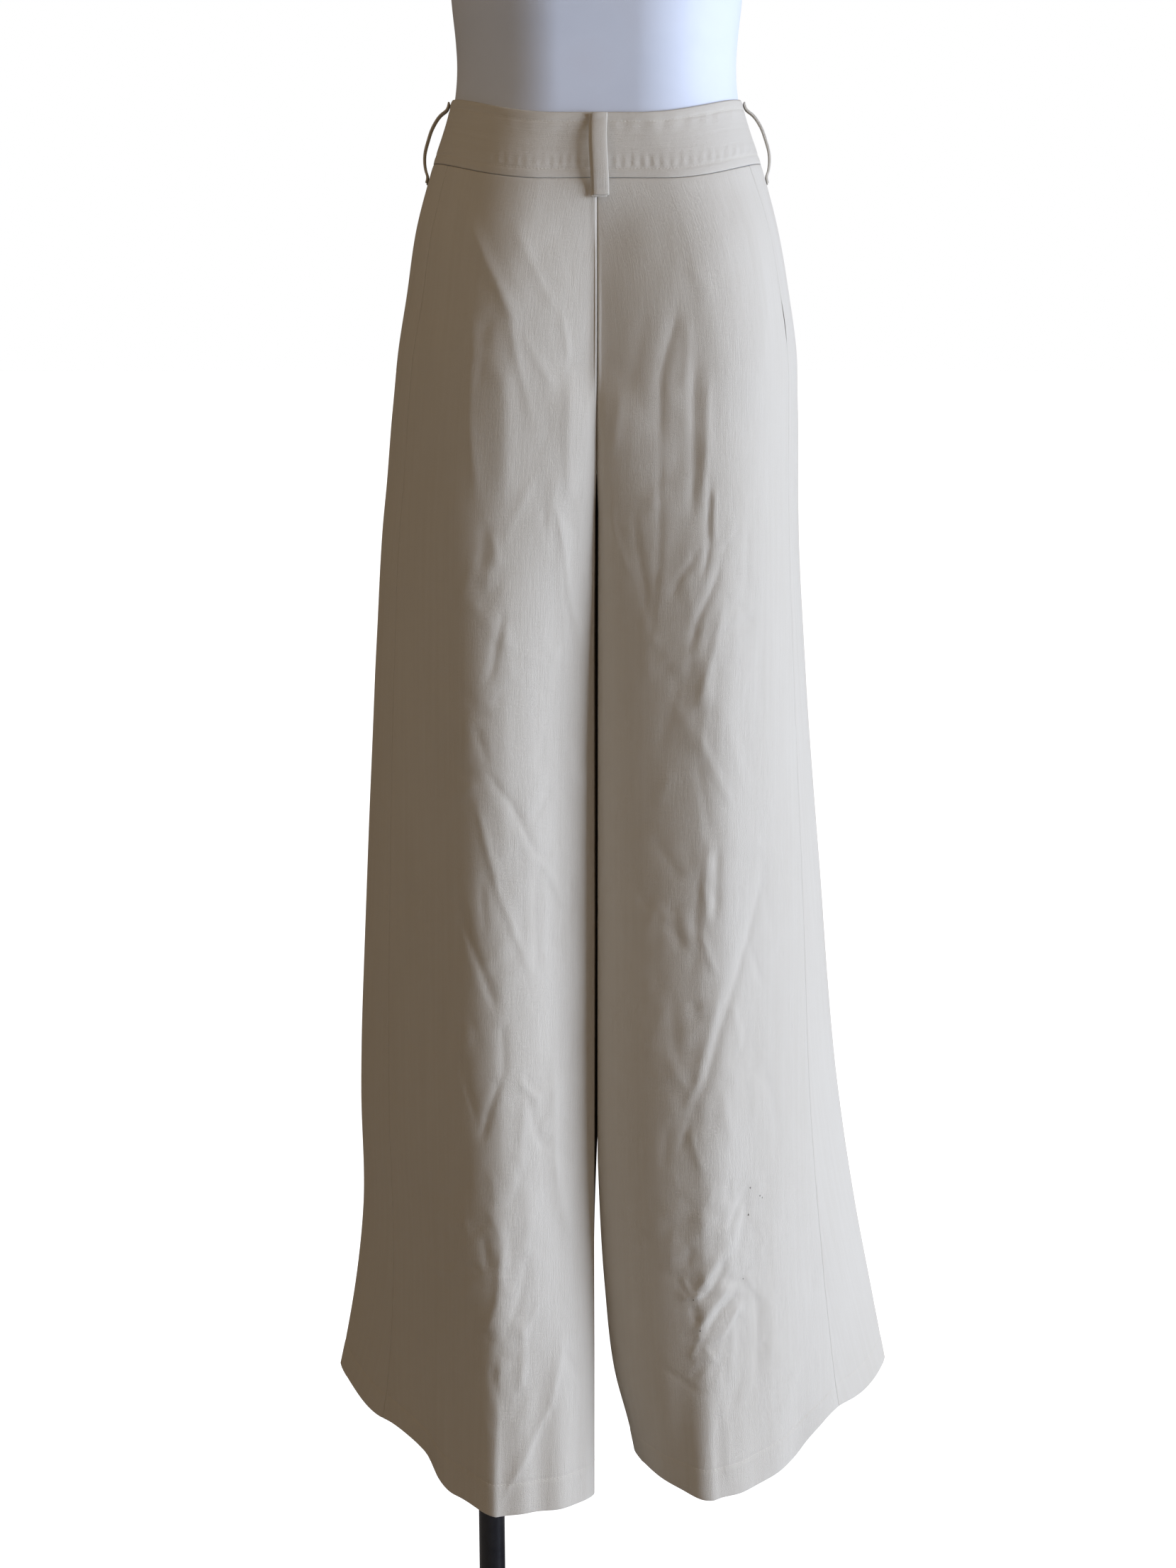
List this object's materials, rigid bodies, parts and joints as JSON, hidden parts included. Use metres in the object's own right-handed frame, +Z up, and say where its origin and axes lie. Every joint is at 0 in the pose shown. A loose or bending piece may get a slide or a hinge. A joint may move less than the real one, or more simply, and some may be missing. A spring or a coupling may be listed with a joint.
{
  "type": "wide-leg trousers on a display form",
  "caption": "Ivory wide-leg trousers with a belt-looped waistband and flared hems, worn by a smooth limbless torso form on an offset black pole with a round base.",
  "frame": {"origin": "centre of the round base's underside, on the floor", "axes": "+Z up along the pole; -Y is the way the back of the trousers faces; -X is the wearer's left"},
  "size_m": [0.516, 0.3502, 1.64],
  "materials": {
    "ivory_cloth": "matt, fine weave",
    "form_shell": "satin",
    "black_metal": "satin black"
  },
  "bodies": {
    "root": {"back_left": "ivory_cloth", "back_right": "ivory_cloth", "front_left": "ivory_cloth", "front_right": "ivory_cloth", "waistband": "ivory_cloth", "fly": "ivory_cloth", "loop_back": "ivory_cloth", "loop_side_left": "ivory_cloth", "loop_side_right": "ivory_cloth", "loop_front_left": "ivory_cloth", "loop_front_right": "ivory_cloth", "form": "form_shell", "pole": "black_metal", "socket": "black_metal", "collar": "black_metal", "base": "black_metal"}
  },
  "joints": []
}
